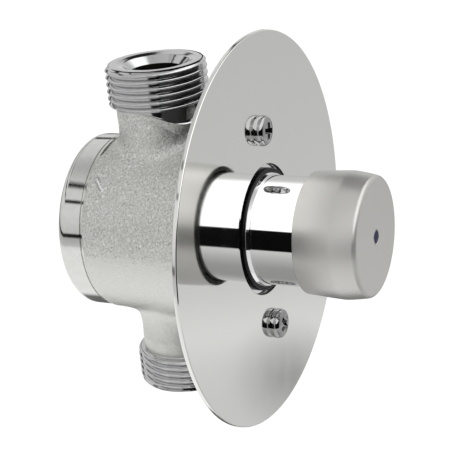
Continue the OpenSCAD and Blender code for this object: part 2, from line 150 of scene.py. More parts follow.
class TapTrim(bpy.types.PropertyGroup):
    """Sizes of the pieces in front of the wall."""
    plate_hole: length("Plate hole", "Radius of the hole in the wall plate", 17.1)
    plate_edge: length("Plate edge", "Round on the wall plate's edges", 0.3)
    sleeve_radius: length("Sleeve radius", "Outer radius of the sleeve", 14.2)
    sleeve_bore: length("Sleeve bore", "Radius of the sleeve's bore", 11)
    collar: length("Collar", "Extra radius of the collar at the sleeve's root", 0.8)
    collar_cone: length("Collar cone", "Length of the cone in front of the collar", 1.0)
    collar_step: length("Collar step", "Height of the step between that cone and the sleeve", 0.4)
    shank_radius: length("Shank radius", "Radius of the sleeve's screwed shank", 13.1)
    button_rear_radius: length("Button rear radius", "Radius of the button at its open edge", 15.75)
    button_front_radius: length("Button front radius", "Radius of the button at its front edge", 15.6)
    button_mid: length("Button middle", "Distance of the button's widest part from the wall surface", 24.5)
    button_round: length("Button round", "Round on the button's front edge", 1.3)
    button_wall: length("Button wall", "Thickness of the button's front wall", 2.5)
    button_cavity: length("Button cavity", "Radius of the hollow in the button", 14.5)
    screw_radius: length("Screw radius", "Radius of the plate screws' shanks", 2)
    screw_crown: length("Screw crown", "How far the crowned heads rise above the solids' plain ones", 0.2)
    steps: count("Steps", "Steps in one turn of each round piece", 192)


class TapSpring(bpy.types.PropertyGroup):
    """Sizes of the return spring."""
    wire_radius: length("Wire radius", "Radius of the spring's wire", 0.6)
    travel: length("Travel", "How much shorter the spring is when the button is in", 6)
    coils: FloatProperty(name="Coils", description="Number of coils", default=4.5, unit="NONE")
    steps: count("Steps", "Steps in one coil", 48)


class TapColours(bpy.types.PropertyGroup):
    """Colours of the finishes."""
    cast: paint("Casting", "Thin plating over the sand-cast skin", "#E4E4E0")
    polished: paint("Polished plate", "Polished plating on the wall plate", "#EEEEEB")
    sleeve: paint("Sleeve", "Mirror plating on the sleeve", "#EBEBEC")
    satin: paint("Satin", "Satin plating on the button", "#CDCCC9")
    # The plate back's dark colour is painted shade, for the shadowed space between plate and body and for the gap
    # round the plate's hole
    back: paint("Plate back", "Dull back of the wall plate", "#4E4E4D")
    # The bore's near-black colour is painted shade inside the ports' bores and the button's hollow
    bore: paint("Bore", "Dulled plating down the ports", "#2B2A28")
    brass: paint("Brass", "Bare turned brass", "#C9A55C")
    rubber: paint("Rubber", "Black nitrile rubber", "#060607")
    acetal: paint("Acetal", "Natural acetal", "#E4E3DB")
    steel: paint("Steel", "Ground stainless steel", "#A9ABAC")
    fibre: paint("Fibre", "Red pressed fibre", "#7A3325")
    dot: paint("Dot", "Dark blue enamel of the dot", "#14143C")


# Shapes

def on_axis(radius, place, along):
    """The point at that radius and place along the button's axis (Y) or the ports' axis (Z)."""
    return Vector((radius, place, 0)) if along == "Y" else Vector((radius, PORT_Y, place))


def centre_of(along):
    """A point on the axis and its direction."""
    centre = on_axis(0, 0, along)
    return centre, on_axis(0, 1, along) - centre


def radius_and_place(point, along):
    """Where a point lies: its distance from the axis and its place along it."""
    if along == "Y":
        return math.hypot(point.x, point.z), point.y
    return math.hypot(point.x, point.y - PORT_Y), point.z


def from_axis(point, along="Y"):
    """A point's distance from the axis."""
    return radius_and_place(point, along)[0]


def lathe(outline, along="Y", steps=192, rounds=()):
    """Spins an outline of (radius, place) corners into a closed bmesh, then rounds some of its rings.

    Each of rounds is (corner's number, radius)."""
    bm = bmesh.new()
    verts = [bm.verts.new(on_axis(radius, place, along)) for radius, place in supported(outline, dict(rounds))]
    edges = [
        bm.edges.new((a, b)) for a, b in zip(verts, verts[1:] + verts[:1])
        if max(from_axis(a.co, along), from_axis(b.co, along)) > SAME_POINT
    ]
    centre, direction = centre_of(along)
    bmesh.ops.spin(
        bm, geom=verts + edges, cent=centre, axis=direction, dvec=(0, 0, 0),
        angle=math.tau, steps=steps, use_merge=True, use_duplicate=False,
    )
    bmesh.ops.remove_doubles(bm, verts=bm.verts[:], dist=SAME_POINT)
    for number, size in rounds:
        round_ring(bm, outline[number], size, along)
    face_outward(bm)
    return bm


def supported(outline, rounds):
    """The outline with a point close to each rounded corner, so that the long sides shade straight."""
    beside, least = 0.12 * MM, 0.1 * MM
    points = []
    for number, corner in enumerate(outline):
        after = (number + 1) % len(outline)
        start, end = Vector(corner), Vector(outline[after])
        points.append(corner)
        gaps = [rounds[k] + beside if k in rounds else 0 for k in (number, after)]
        if (end - start).length > sum(gaps) + least:
            way = (end - start).normalized()
            beside_them = (start + way * gaps[0], end - way * gaps[1])
            points += [tuple(point) for point, gap in zip(beside_them, gaps) if gap]
    return points


def round_ring(bm, corner, size, along):
    """Rounds the ring of edges at a (radius, place) corner."""
    def at_corner(vert):
        return all(abs(a - b) < SAME_RING for a, b in zip(radius_and_place(vert.co, along), corner))

    ring = [e for e in bm.edges if all(at_corner(v) for v in e.verts)]
    bmesh.ops.bevel(
        bm, geom=ring, offset=size, offset_type="OFFSET", segments=6,
        profile=0.5, affect="EDGES", material=-1, clamp_overlap=True,
    )


def face_outward(bm):
    """Turns every face's front to the outside."""
    bmesh.ops.recalc_face_normals(bm, faces=bm.faces[:])


def set_way(bm, way):
    """Turns a shape made for the top port upside down if way is -1; its faces stay outward."""
    if way < 0:
        bmesh.ops.scale(bm, verts=bm.verts[:], vec=(1, 1, -1))
        bmesh.ops.reverse_faces(bm, faces=bm.faces[:])


def wind(bm, verts, rise, angle, steps, along="Y"):
    """Winds a ring of vertices round the axis into a closed helix that rises by so much at each step.

    It is faced outward here, because a chamfer flattens some faces later, and those have no side of their own."""
    centre, direction = centre_of(along)
    section = bm.faces.new(verts)
    bmesh.ops.spin(
        bm, geom=[section] + section.edges[:] + verts, cent=centre, axis=direction, dvec=direction * rise,
        angle=angle, steps=steps, use_merge=False, use_duplicate=False,
    )
    bmesh.ops.holes_fill(bm, edges=[e for e in bm.edges if e.is_boundary], sides=0)
    face_outward(bm)


def bar(bm, low, high):
    """A box between two corners; returns its vertices."""
    low, high = Vector(low), Vector(high)
    place = Matrix.Translation((low + high) / 2) @ Matrix.Diagonal((*(high - low), 1))
    return bmesh.ops.create_cube(bm, size=1, matrix=place)["verts"]


def turn_verts(verts, degrees):
    """Turns vertices about the button's axis."""
    for vert in verts:
        vert.co = Matrix.Rotation(math.radians(degrees), 3, "Y") @ vert.co


def opened(mesh):
    """The mesh as a new bmesh."""
    bm = bmesh.new()
    bm.from_mesh(mesh)
    return bm


def new_object(name, data):
    """An object in the scene."""
    made = bpy.data.objects.new(name, data)
    bpy.context.scene.collection.objects.link(made)
    return made


def to_mesh(bm, name):
    """The bmesh as a mesh; the bmesh is freed."""
    mesh = bpy.data.meshes.new(name)
    bm.to_mesh(mesh)
    bm.free()
    return mesh


def with_modifier(mesh, kind, **settings):
    """The mesh after a modifier of that kind."""
    carrier = new_object("carrier", mesh)
    modifier = carrier.modifiers.new(kind, kind)
    for key, value in settings.items():
        setattr(modifier, key, value)
    shaped = carrier.evaluated_get(bpy.context.evaluated_depsgraph_get())
    result = bpy.data.meshes.new_from_object(shaped)
    bpy.data.objects.remove(carrier)
    return result


def cut(mesh, cutter):
    """The mesh less the cutter, which is a bmesh."""
    tool = new_object("cutter", to_mesh(cutter, "cutter"))
    result = with_modifier(mesh, "BOOLEAN", object=tool, operation="DIFFERENCE", solver="EXACT", use_self=True)
    bpy.data.objects.remove(tool)
    return result


def place_piece(shape, name, look, node, body="tap", crease=32, other=None):
    """Makes a finished piece of a bmesh or mesh: shading, materials, body and node.

    look names its finish. other is a second finish and the test that a face's centre and normal pass to take it."""
    bm = opened(shape) if isinstance(shape, bpy.types.Mesh) else shape
    for face in bm.faces:
        face.smooth = True
        face.material_index = int(other is not None and other[1](face.calc_center_median(), face.normal))
    for edge in bm.edges:
        edge.smooth = edge.is_manifold and edge.calc_face_angle(0) < math.radians(crease)
    piece = new_object(name, to_mesh(bm, name))
    for used in (look, other[0]) if other else (look,):
        piece.data.materials.append(finish(used))
    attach(piece, body)
    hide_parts(node)
    return piece


# Materials

WHITE = linear("#FFFFFF")


def add_node(tree, kind, inputs=None, **settings):
    """Adds a node; inputs are values or sockets by name or number, and settings are its properties."""
    node = tree.nodes.new(kind)
    for key, value in settings.items():
        setattr(node, key, value)
    for key, value in (inputs or {}).items():
        if isinstance(value, bpy.types.NodeSocket):
            tree.links.new(value, node.inputs[key])
        else:
            node.inputs[key].default_value = value
    return node


def new_material(name):
    """An empty material; returns it, its tree and the object's own coordinates in metres."""
    material = bpy.data.materials.new(name)
    material.use_nodes = True
    tree = material.node_tree
    tree.nodes.clear()
    place = add_node(tree, "ShaderNodeTexCoord").outputs["Object"]
    return material, tree, place


def per_mm(size):
    """Noise scale at which the pattern's features are that many millimetres across."""
    return 1 / (size * MM)


def shade(colour, amount):
    """A colour made lighter or darker by a factor, with alpha."""
    return tuple(min(1.0, c * amount) for c in colour[:3]) + (1.0,)


def maths(tree, operation, *values):
    """Works out one value from values or sockets."""
    return add_node(tree, "ShaderNodeMath", dict(enumerate(values)), operation=operation).outputs["Value"]


def times(tree, first, second):
    """Product of two values."""
    return maths(tree, "MULTIPLY", first, second)


def vectors(tree, operation, result, inputs):
    """The named result of working with vectors."""
    return add_node(tree, "ShaderNodeVectorMath", inputs, operation=operation).outputs[result]


def split(tree, vector):
    """The x, y and z of a vector."""
    outputs = add_node(tree, "ShaderNodeSeparateXYZ", {"Vector": vector}).outputs
    return outputs["X"], outputs["Y"], outputs["Z"]


def mixed(tree, factor, low, high, kind="RGBA"):
    """Blends two colours, or two plain values where kind is FLOAT."""
    first, result = {"RGBA": (6, 2), "FLOAT": (2, 0)}[kind]
    return add_node(tree, "ShaderNodeMix", {0: factor, first: low, first + 1: high}, data_type=kind).outputs[result]


def noise(tree, place, size, detail=2.0, roughness=0.5):
    """Noise whose features are size millimetres across."""
    return add_node(
        tree, "ShaderNodeTexNoise",
        {"Vector": place, "Scale": per_mm(size), "Detail": detail, "Roughness": roughness},
    ).outputs["Fac"]


def ranged(tree, value, from_low, from_high, to_low=0.0, to_high=1.0):
    """Maps a value from one range to another, clamped."""
    return add_node(
        tree, "ShaderNodeMapRange",
        {"Value": value, "From Min": from_low, "From Max": from_high, "To Min": to_low, "To Max": to_high},
    ).outputs["Result"]


def bump(tree, height, distance, normal=None):
    """A bump whose full height is distance millimetres."""
    inputs = {"Height": height, "Distance": distance * MM, "Strength": 1.0}
    if normal is not None:
        inputs["Normal"] = normal
    return add_node(tree, "ShaderNodeBump", inputs).outputs["Normal"]


def tool_rings(tree, distance, gap):
    """The rings that a lathe's tool leaves, gap millimetres apart along a distance."""
    return maths(tree, "SINE", times(tree, distance, math.tau * per_mm(gap)))


def finish_surface(tree, colour, roughness, metallic, normal=None, **extra):
    """Ends a material in a principled shader; colour and roughness are values or sockets."""
    inputs = {"Base Color": colour, "Roughness": roughness, "Metallic": metallic}
    if normal is not None:
        inputs["Normal"] = normal
    inputs.update({key.replace("_", " "): value for key, value in extra.items()})
    surface = add_node(tree, "ShaderNodeBsdfPrincipled", inputs)
    add_node(tree, "ShaderNodeOutputMaterial", {"Surface": surface.outputs["BSDF"]})


def plain_finish(name, colour, pattern, tones, rough, metallic, height, span=(0.3, 0.7), stretch=None, **extra):
    """A material whose tone, roughness and height follow one noise.

    pattern is the noise's size in millimetres, detail and roughness; tones are the factors on the colour at its low
    and high ends, rough is the roughness at the ends of its span, and height is the bump's in millimetres."""
    material, tree, place = new_material(name)
    if stretch:
        place = add_node(tree, "ShaderNodeMapping", {"Vector": place, "Scale": stretch}).outputs["Vector"]
    grain = noise(tree, place, *pattern)
    tone = mixed(tree, grain, shade(colour, tones[0]), shade(colour, tones[1]))
    relief = bump(tree, grain, height) if height else None
    finish_surface(tree, tone, ranged(tree, grain, *span, *rough), metallic, relief, **extra)
    return material


def cast_plated_brass(colour):
    """Sand-cast brass under thin plating: grains of the mould show as a fine, uneven, matt speckle."""
    material, tree, place = new_material("sand_cast_plated_brass")
    grain = noise(tree, place, 0.42, 2.0, 0.6)
    pits = noise(tree, place, 2.2)
    # The speckle is strongest on the upper part, down to a ragged line just below the button's axis
    worn = maths(tree, "ADD", split(tree, place)[2], ranged(tree, pits, 0.3, 0.7, -3 * MM, 3 * MM))
    sandy = ranged(tree, worn, -2.5 * MM, 1 * MM, 0.2, 1.0)
    speckle = maths(tree, "ADD", times(tree, ranged(tree, grain, 0.34, 0.68, -0.5, 0.5), sandy), 0.5)
    tone = mixed(tree, speckle, shade(colour, 0.72), shade(colour, 1.16))
    # Dark flecks where the noise is lowest, bright ones where it is highest
    flecks = noise(tree, place, 0.6, 1.0)
    for span, strength in (((0.3, 0.37, 1, 0), 0.62), ((0.63, 0.7, 0, 1), 1.4)):
        tone = mixed(tree, times(tree, ranged(tree, flecks, *span), sandy), tone, shade(colour, strength))
    # A short nick in the drum: its bump and lower roughness are real, and its colour mixed towards white is a painted
    # highlight
    nick_and_painted_glint = streak(tree, place, (-17.5 * MM, 36.9 * MM, 16.0 * MM), (-0.534, -0.608, -0.589), 2.8 * MM, 0.7 * MM)
    rough = maths(tree, "MULTIPLY_ADD", nick_and_painted_glint, -0.2, ranged(tree, grain, 0.3, 0.7, 0.36, 0.48))
    relief = bump(tree, nick_and_painted_glint, 0.5, bump(tree, speckle, 0.09, bump(tree, pits, 0.12)))
    finish_surface(tree, mixed(tree, nick_and_painted_glint, tone, WHITE), rough, 1.0, relief)
    return material


def streak(tree, place, middle, along, half, width):
    """1 on a short straight streak, 0 off it; half is half its length."""
    away = vectors(tree, "SUBTRACT", "Vector", {0: place, 1: middle})
    run = vectors(tree, "DOT_PRODUCT", "Value", {0: away, 1: along})
    foot = vectors(tree, "SCALE", "Vector", {0: along, "Scale": run})
    aside = vectors(tree, "DISTANCE", "Value", {0: away, 1: foot})
    return times(tree, ranged(tree, aside, 0.3 * width, width, 1, 0),
                 ranged(tree, maths(tree, "ABSOLUTE", run), 0.6 * half, half, 1, 0))


def turned_plated_brass(colour):
    """Plated brass straight from the lathe: bright, with fine rings left by the tool."""
    material, tree, place = new_material("turned_plated_brass")
    wear = noise(tree, place, 1.6, 3.0, 0.6)
    tone = mixed(tree, ranged(tree, wear, 0.35, 0.65), shade(colour, 0.97), shade(colour, 1.03))
    rings = tool_rings(tree, split(tree, place)[1], 0.35)
    finish_surface(tree, tone, ranged(tree, wear, 0.3, 0.7, 0.04, 0.07), 1.0, bump(tree, rings, 0.0006))
    return material


def cut_thread_plating(colour):
    """Plated thread, cut with a die: bright flanks with faint chatter."""
    return plain_finish("cut_thread_plating", colour, (0.5,), (0.94, 1.04), (0.06, 0.14), 1.0, 0.012)


def drilled_bore(colour):
    """The port's bore, drilled and thinly plated, and the button's hollow: a near-black colour that is painted shade
    inside these recesses, so almost no light comes back out.
    """
    return plain_finish("drilled_bore", colour, (1.1, 3.0, 0.6), (0.6, 1.4), (0.35, 0.55), 1.0, 0.03)


def polished_plating(colour, name, low, high):
    """Chrome plating over a polished face: a mirror, with roughness that varies a little like wiped metal."""
    return plain_finish(name, colour, (9.0, 3.0, 0.55), (0.985, 1.015), (low, high), 1.0, None, span=(0.35, 0.65))


def unpolished_sheet(colour):
    """The back of the pressed plate and the wall of its hole: rolled sheet left dull, with rolling lines along X, in
    a dark colour that is painted shade for the shadowed space between plate and body and for the gap round the hole.
    """
    return plain_finish("unpolished_sheet", colour, (0.4,), (0.8, 1.1), (0.4, 0.55), 1.0, 0.01,
                        stretch=(0.06, 1.0, 1.0))


def satin_plating(colour):
    """Satin chrome: blasted fine before plating, so it glows softly and shows only broad light and dark."""
    material, tree, place = new_material("satin_chrome_plating")
    cloud = noise(tree, place, 7.0)
    tone = mixed(tree, cloud, shade(colour, 0.97), shade(colour, 1.03))
    blast = bump(tree, noise(tree, place, 0.3), 0.002)
    finish_surface(tree, tone, ranged(tree, cloud, 0.35, 0.65, 0.33, 0.37), 0.8, blast)
    return material


def turned_brass(colour):
    """Bare turned brass of the inner pieces, with tool rings and slight tarnish."""
    material, tree, place = new_material("turned_brass")
    tarnish = noise(tree, place, 3.0, 3.0, 0.6)
    tone = mixed(tree, ranged(tree, tarnish, 0.35, 0.7), shade(colour, 1.05), shade(colour, 0.75))
    across, _, height = split(tree, place)
    flat = add_node(tree, "ShaderNodeCombineXYZ", {"X": across, "Y": height}).outputs["Vector"]
    rings = tool_rings(tree, vectors(tree, "LENGTH", "Value", {0: flat}), 0.4)
    finish_surface(tree, tone, ranged(tree, tarnish, 0.3, 0.7, 0.2, 0.36), 1.0, bump(tree, rings, 0.004))
    return material


def nitrile_rubber(colour):
    """Moulded nitrile rubber: near black, with a dull bloom and a soft sheen along its bends."""
    return plain_finish("nitrile_rubber", colour, (1.2, 3.0, 0.6), (0.8, 1.6), (0.22, 0.32), 0.0, 0.01,
                        Specular_IOR_Level=0.2)


def moulded_acetal(colour):
    """Natural acetal: slightly waxy white, from a smooth mould with faint flow marks."""
    return plain_finish("moulded_acetal", colour, (4.0,), (0.96, 1.02), (0.32, 0.42), 0.0, 0.01)


def ground_steel(colour):
    """Ground stainless steel of the stem, clip and spring: fine scratches round the piece."""
    return plain_finish("ground_stainless_steel", colour, (0.15,), (0.9, 1.08), (0.18, 0.3), 1.0, 0.004,
                        stretch=(0.1, 1.0, 0.1))


def pressed_fibre(colour):
    """Vulcanised fibre washer: matt red with pale and dark threads pressed flat."""
    return plain_finish("pressed_fibre", colour, (0.5, 4.0, 0.7), (0.6, 1.5), (0.75, 0.75), 0.0, 0.03)


def blue_enamel(colour):
    """Stove enamel of the dot: dark, glassy, with a slightly uneven surface."""
    return plain_finish("blue_enamel", colour, (0.8, 1.0), (0.75, 1.2), (0.2, 0.3), 0.0, 0.01,
                        Specular_IOR_Level=0.06)


# Each finish: its maker, its colour in TapColours, a factor on that colour, and what else the maker takes
RECIPES = {
    "cast": (cast_plated_brass, "cast", 1),
    "turned": (turned_plated_brass, "polished", 0.85),
    # The threads and the neck relief take the mirror chrome at three quarters of its brightness: painted shade behind
    # the plate
    "thread": (cut_thread_plating, "sleeve", 0.75),
    "plate": (polished_plating, "polished", 1, "polished_plate_chrome", 0.045, 0.075),
    # The back finish's dark colour is painted shade behind the plate and in the gap round its hole
    "back": (unpolished_sheet, "back", 1),
    # The bore finish's near-black colour is painted shade inside hollows
    "bore": (drilled_bore, "bore", 1),
    "sleeve": (polished_plating, "sleeve", 1, "mirror_chrome", 0.02, 0.045),
    # The screws take the mirror chrome at half its brightness: painted shade on the screw heads
    "screw": (polished_plating, "sleeve", 0.5, "screw_chrome", 0.07, 0.12),
    "satin": (satin_plating, "satin", 1),
    "brass": (turned_brass, "brass", 1),
    "rubber": (nitrile_rubber, "rubber", 1),
    "acetal": (moulded_acetal, "acetal", 1),
    "steel": (ground_steel, "steel", 1),
    "fibre": (pressed_fibre, "fibre", 1),
    "dot": (blue_enamel, "dot", 1),
}
FINISHES = {}


def finish(name):
    """The named finish, made on first use."""
    if name not in FINISHES:
        maker, colour, amount, *more = RECIPES[name]
        FINISHES[name] = maker(shade(getattr(bpy.context.scene.tap_colours, colour), amount), *more)
    return FINISHES[name]


# Operators, one for each piece or group of like pieces

class TAP_OT_casting(bpy.types.Operator):
    """Makes the cast body from the frame's solid, with its skin softened and its necks blended"""
    bl_idname = "tap.casting"
    bl_label = "Cast body"

    # Where a neck blends into the drum: from and to these distances from the ports' axis, beyond this distance
    # from the button's axis, and less than this far up or down
    near_port, far_port = 0.0095, 0.0175
    beyond_drum = 0.0205
    below_thread = 0.0305

    def execute(self, context):
        size = context.scene.tap_casting
        ports = context.scene.tap_ports
        bm = opened(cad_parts["body"].data)
        bmesh.ops.remove_doubles(bm, verts=bm.verts[:], dist=SAME_RING)
        cutters = bmesh.new()
        beyond = 2 * BODY_BACK
        bar(cutters, (-beyond, BODY_BACK - size.band_length, -beyond), (beyond, beyond, beyond))
        self.thread_cutter(cutters, PORT_END - ports.outlet_length, size, 1)
        self.thread_cutter(cutters, PORT_END - ports.inlet_length, size, -1)
        solid = cut(to_mesh(bm, "casting_solid"), cutters)
        bm = opened(with_modifier(solid, "REMESH", mode="VOXEL", voxel_size=size.grid, adaptivity=0.0))
        for _ in range(size.skin_passes):
            self.soften(bm, bm.verts[:])
        blend = [v for v in bm.verts if self.in_blend(v.co)]
        for _ in range(size.blend_passes):
            self.soften(bm, blend)
        place_piece(bm, "cast_body", "cast", "body", crease=80)
        return {"FINISHED"}

    def thread_cutter(self, bm, start, size, way):
        """Takes the thread off a neck and cuts the neck a little inside it; way is 1 at the top, -1 below."""
        neck, beyond = size.neck_radius, 1.2 * PORT_END
        cutter = lathe(
            [(0, start + size.neck_extension), (neck, start + size.neck_extension), (neck, start),
             (BODY_HIGH.x, start), (BODY_HIGH.x, beyond), (0, beyond)],
            along="Z", steps=64,
        )
        set_way(cutter, way)
        bm.from_mesh(to_mesh(cutter, "thread_cutter"))

    def soften(self, bm, verts):
        """One smoothing pass over these vertices."""
        bmesh.ops.smooth_vert(bm, verts=verts, factor=0.5, use_axis_x=True, use_axis_y=True, use_axis_z=True)

    def in_blend(self, point):
        """Whether a point lies on the outside where a neck leaves the drum."""
        return (self.near_port < from_axis(point, "Z") < self.far_port and from_axis(point) > self.beyond_drum
                and abs(point.z) < self.below_thread)


class TAP_OT_band(bpy.types.Operator):
    """Turns the band and back face behind the casting"""
    bl_idname = "tap.band"
    bl_label = "Turned back"

    def execute(self, context):
        size = context.scene.tap_casting
        edge = BODY_BACK - size.band_length
        start = edge - 0.6 * MM
        floor = BODY_BACK - size.back_wall
        bore, rim, groove = size.chamber_radius, size.band_radius, size.band_radius - 0.35 * MM
        bm = lathe(
            [(0, floor), (bore, floor), (bore, start), (rim, start), (rim, edge), (groove, edge + 0.06 * MM),
             (groove, edge + 0.34 * MM), (rim, edge + 0.4 * MM), (rim, BODY_BACK), (0, BODY_BACK)],
            rounds=[(8, size.band_round)],
        )
        place_piece(bm, "turned_back", "turned", "body", crease=40)
        return {"FINISHED"}


class TAP_OT_ports(bpy.types.Operator):
    """Cuts the thread, rim, coned seat and bore of both ports"""
    bl_idname = "tap.ports"
    bl_label = "Threaded ports"

    def execute(self, context):
        size = context.scene.tap_ports
        self.port("outlet_port", size, size.outlet_length, 1)
        self.port("inlet_port", size, size.inlet_length, -1)
        self.relief(size)
        return {"FINISHED"}

    def relief(self, size):
        """The strip of the outlet neck that the threading tool turned clean, with the ledge that it left."""
        top = PORT_END - size.outlet_length + 0.2 * MM
        wall, core = size.relief_radius, size.relief_radius - 0.7 * MM
        first, last, steps = -178, -30, 74  # degrees round the neck, and steps on the way
        bm = bmesh.new()
        rows = []
        for step in range(steps + 1):
            share = step / steps
            turn = math.radians(first + (last - first) * share)
            run = min(1, 2.6 * share) * min(1, 6 * (1 - share))
            grown = run * run * (3 - 2 * run)
            low = top - 0.3 * MM - (size.relief_length - 0.3 * MM) * grown
            ledge = wall + 0.05 * MM + size.relief_ledge * grown
            foot = low - 0.4 * MM - 3.4 * MM * grown
            places = [
                (core, top), (wall, top), (wall, low), (ledge - 0.3 * MM * grown, low + 0.1 * MM * grown),
                (ledge, low - 0.15 * MM * grown), (core + 0.2 * MM, foot), (core, foot),
            ]
            rows.append([
                bm.verts.new((radius * math.cos(turn), PORT_Y + radius * math.sin(turn), z)) for radius, z in places
            ])
        for here, there in zip(rows, rows[1:]):
            for a, b, c, d in zip(here, there, there[1:] + there[:1], here[1:] + here[:1]):
                bm.faces.new((a, b, c, d))
        bm.faces.new(rows[0])
        bm.faces.new(rows[-1][::-1])
        face_outward(bm)
        sandy = ("cast", lambda centre, normal: normal.z < -0.2)
        place_piece(bm, "neck_relief", "thread", "body", crease=35, other=sandy)

    def port(self, name, size, thread_length, way):
        """One port: way is 1 for the outlet, at the top, and -1 for the inlet."""
        start = PORT_END - thread_length
        root = size.major_radius - size.depth
        bore, liner, foot = size.bore_radius, size.bore_radius + 0.3 * MM, PORT_FLOOR + 0.05 * MM
        bm = lathe(
            [(bore, foot), (bore, PORT_END - size.cone_depth), (size.cone_radius, PORT_END - size.rim_depth),
             (size.rim_radius, PORT_END), (root, PORT_END), (root + 0.5 * MM, PORT_END - 0.6 * MM),
             (root, PORT_END - 1.1 * MM), (root, start), (liner, start), (liner, foot)],
            along="Z", steps=size.steps * 2, rounds=[(2, 0.2 * MM), (3, 0.3 * MM), (4, 0.15 * MM)],
        )
        self.thread(bm, size, start, root)
        set_way(bm, way)
        # Faces down the bore, below the coned seat, take the near-black bore finish: painted shade inside the port
        dull = PORT_END - size.cone_depth - 0.1 * MM
        inside = ("bore", lambda centre, normal: abs(centre.z) < dull and from_axis(centre, "Z") < liner)
        place_piece(bm, name, "thread", "body", crease=38, other=inside)

    def thread(self, bm, size, start, root):
        """A helical ridge on the root cylinder, cut back by a chamfer at both ends."""
        pitch, tip, inner = size.pitch, size.major_radius, root - 0.2 * MM
        # One flank of the ridge and its crest, as (radius, share of the pitch)
        flank = [(inner, 0.08), (root + 0.1 * MM, 0.14), (tip - 0.17 * MM, 0.36), (tip - 0.03 * MM, 0.43), (tip, 0.5)]
        shape = flank + [(tip - 0.03 * MM, 0.57), (tip - 0.17 * MM, 0.64), (root + 0.1 * MM, 0.86), (inner, 0.92)]
        low = start - pitch / 2
        first = len(bm.verts)
        verts = [bm.verts.new((radius, PORT_Y, low + share * pitch)) for radius, share in shape]
        steps = round(size.steps * ((PORT_END - start) / pitch + 1))
        wind(bm, verts, pitch / size.steps, math.tau * steps / size.steps, steps, along="Z")
        bm.verts.ensure_lookup_table()
        for vert in bm.verts[first:]:
            self.keep_inside(vert, start, inner, tip)

    def keep_inside(self, vert, start, inner, tip):
        """Chamfers the ridge: its radius falls off at 45 degrees towards both ends, down into the core."""
        across = Vector((vert.co.x, vert.co.y - PORT_Y, 0))
        radius = across.length
        height = min(max(vert.co.z, start + 0.05 * MM), PORT_END - 0.05 * MM)
        limit = min(tip - 0.9 * MM + (PORT_END - height), tip - 0.8 * MM + (height - start) * 0.8)
        wanted = max(inner, min(radius, limit))
        across *= wanted / radius
        vert.co = Vector((across.x, across.y + PORT_Y, height))


class TAP_OT_wall_plate(bpy.types.Operator):
    """Makes the round wall plate with its centre hole and screw holes"""
    bl_idname = "tap.wall_plate"
    bl_label = "Wall plate"

    def execute(self, context):
        size = context.scene.tap_trim
        hole = size.plate_hole
        bm = lathe(
            [(hole, PLATE_BACK), (hole, PLATE_FRONT), (PLATE_R, PLATE_FRONT), (PLATE_R, PLATE_BACK)],
            steps=256, rounds=[(1, 0.15 * MM), (2, size.plate_edge), (3, 0.2 * MM)],
        )
        holes = bmesh.new()
        for side in (-1, 1):
            self.hole(holes, side * SCREW_Z, size.screw_radius + 0.2 * MM)
        plate = cut(to_mesh(bm, "plate_blank"), holes)
        # The back face and the hole's wall take the dark back finish: painted shade behind the plate and in the gap
        # round the hole
        rough = ("back", lambda centre, normal: (
            centre.y > PLATE_BACK - 0.01 * MM or from_axis(centre) < hole + 0.05 * MM))
        place_piece(plate, "wall_plate_dressed", "plate", "wall_plate", crease=20, other=rough)
        return {"FINISHED"}

    def hole(self, bm, z, radius):
        """A cutter for one screw hole."""
        lie = Matrix.Translation((0, (PLATE_FRONT + PLATE_BACK) / 2, z)) @ Matrix.Rotation(math.pi / 2, 4, "X")
        bmesh.ops.create_cone(
            bm, cap_ends=True, segments=48, radius1=radius, radius2=radius, depth=6 * MM, matrix=lie
        )


class TAP_OT_plate_screws(bpy.types.Operator):
    """Makes the two pan-head screws with their cross recesses and threads"""
    bl_idname = "tap.plate_screws"
    bl_label = "Plate screws"

    head_turn = {1: 12, -1: 58}  # degrees, for the upper and the lower screw
    thread_pitch = 0.7 * MM
    thread_depth = 0.25 * MM
    thread_steps = 24

    def execute(self, context):
        size = context.scene.tap_trim
        bm = bmesh.new()
        for side in (-1, 1):
            screw = self.screw(size.screw_radius, size.screw_crown)
            turn_verts(screw.verts, self.head_turn[side])
            bmesh.ops.translate(screw, verts=screw.verts[:], vec=(0, 0, side * SCREW_Z))
            bm.from_mesh(to_mesh(screw, "screw"))
        place_piece(bm, "plate_screws_dressed", "screw", "plate_screws", crease=28)
        return {"FINISHED"}

    def screw(self, shank, crown):
        """One screw on the button's axis, its head's underside on the plate."""
        top, seat, tip = SCREW_LOW.y - crown, PLATE_FRONT, SCREW_HIGH.y
        head, root = SCREW_HEAD_R, shank - self.thread_depth
        blank = lathe(
            [(0, top), (0.6 * head, top + 0.12 * MM), (0.88 * head, top + 0.5 * MM), (0.98 * head, top + 1.2 * MM),
             (head, seat - 0.7 * MM), (0.94 * head, seat), (root, seat), (root, tip - 1.2 * MM), (0, tip)],
            steps=72, rounds=[(1, 0.8 * MM), (2, 0.45 * MM), (3, 0.4 * MM), (4, 0.4 * MM)],
        )
        bm = opened(cut(to_mesh(blank, "screw_blank"), self.cross(top, head)))
        self.thread(bm, shank, root - 0.1 * MM, seat, tip)
        return bm

    def cross(self, top, head):
        """A cutter for the cross recess: two blades that taper inward from the head's top."""
        bm = bmesh.new()
        depth, half, width = 1.7 * MM, 0.62 * head, 0.19 * head
        for turn in (0, 90):
            blade = bar(bm, (-half, top - 1 * MM, -width), (half, top + depth, width))
            for vert in blade:
                longer, wider = (0.42, 0.7) if vert.co.y > top else (1.25, 1.1)
                vert.co.x *= longer
                vert.co.z *= wider
            turn_verts(blade, turn)
        return bm

    def thread(self, bm, crest, root, seat, tip):
        """The machine thread below the head, which starts and ends a little way inside the shank."""
        pitch, steps = self.thread_pitch, self.thread_steps
        verts = [
            bm.verts.new((radius, seat + 1 * MM + share * pitch, 0))
            for radius, share in ((root, 0.1), (crest, 0.45), (crest, 0.55), (root, 0.9))
        ]
        turns = (tip - seat - 3.4 * MM) / pitch
        wind(bm, verts, pitch / steps, math.tau * turns, round(steps * turns))


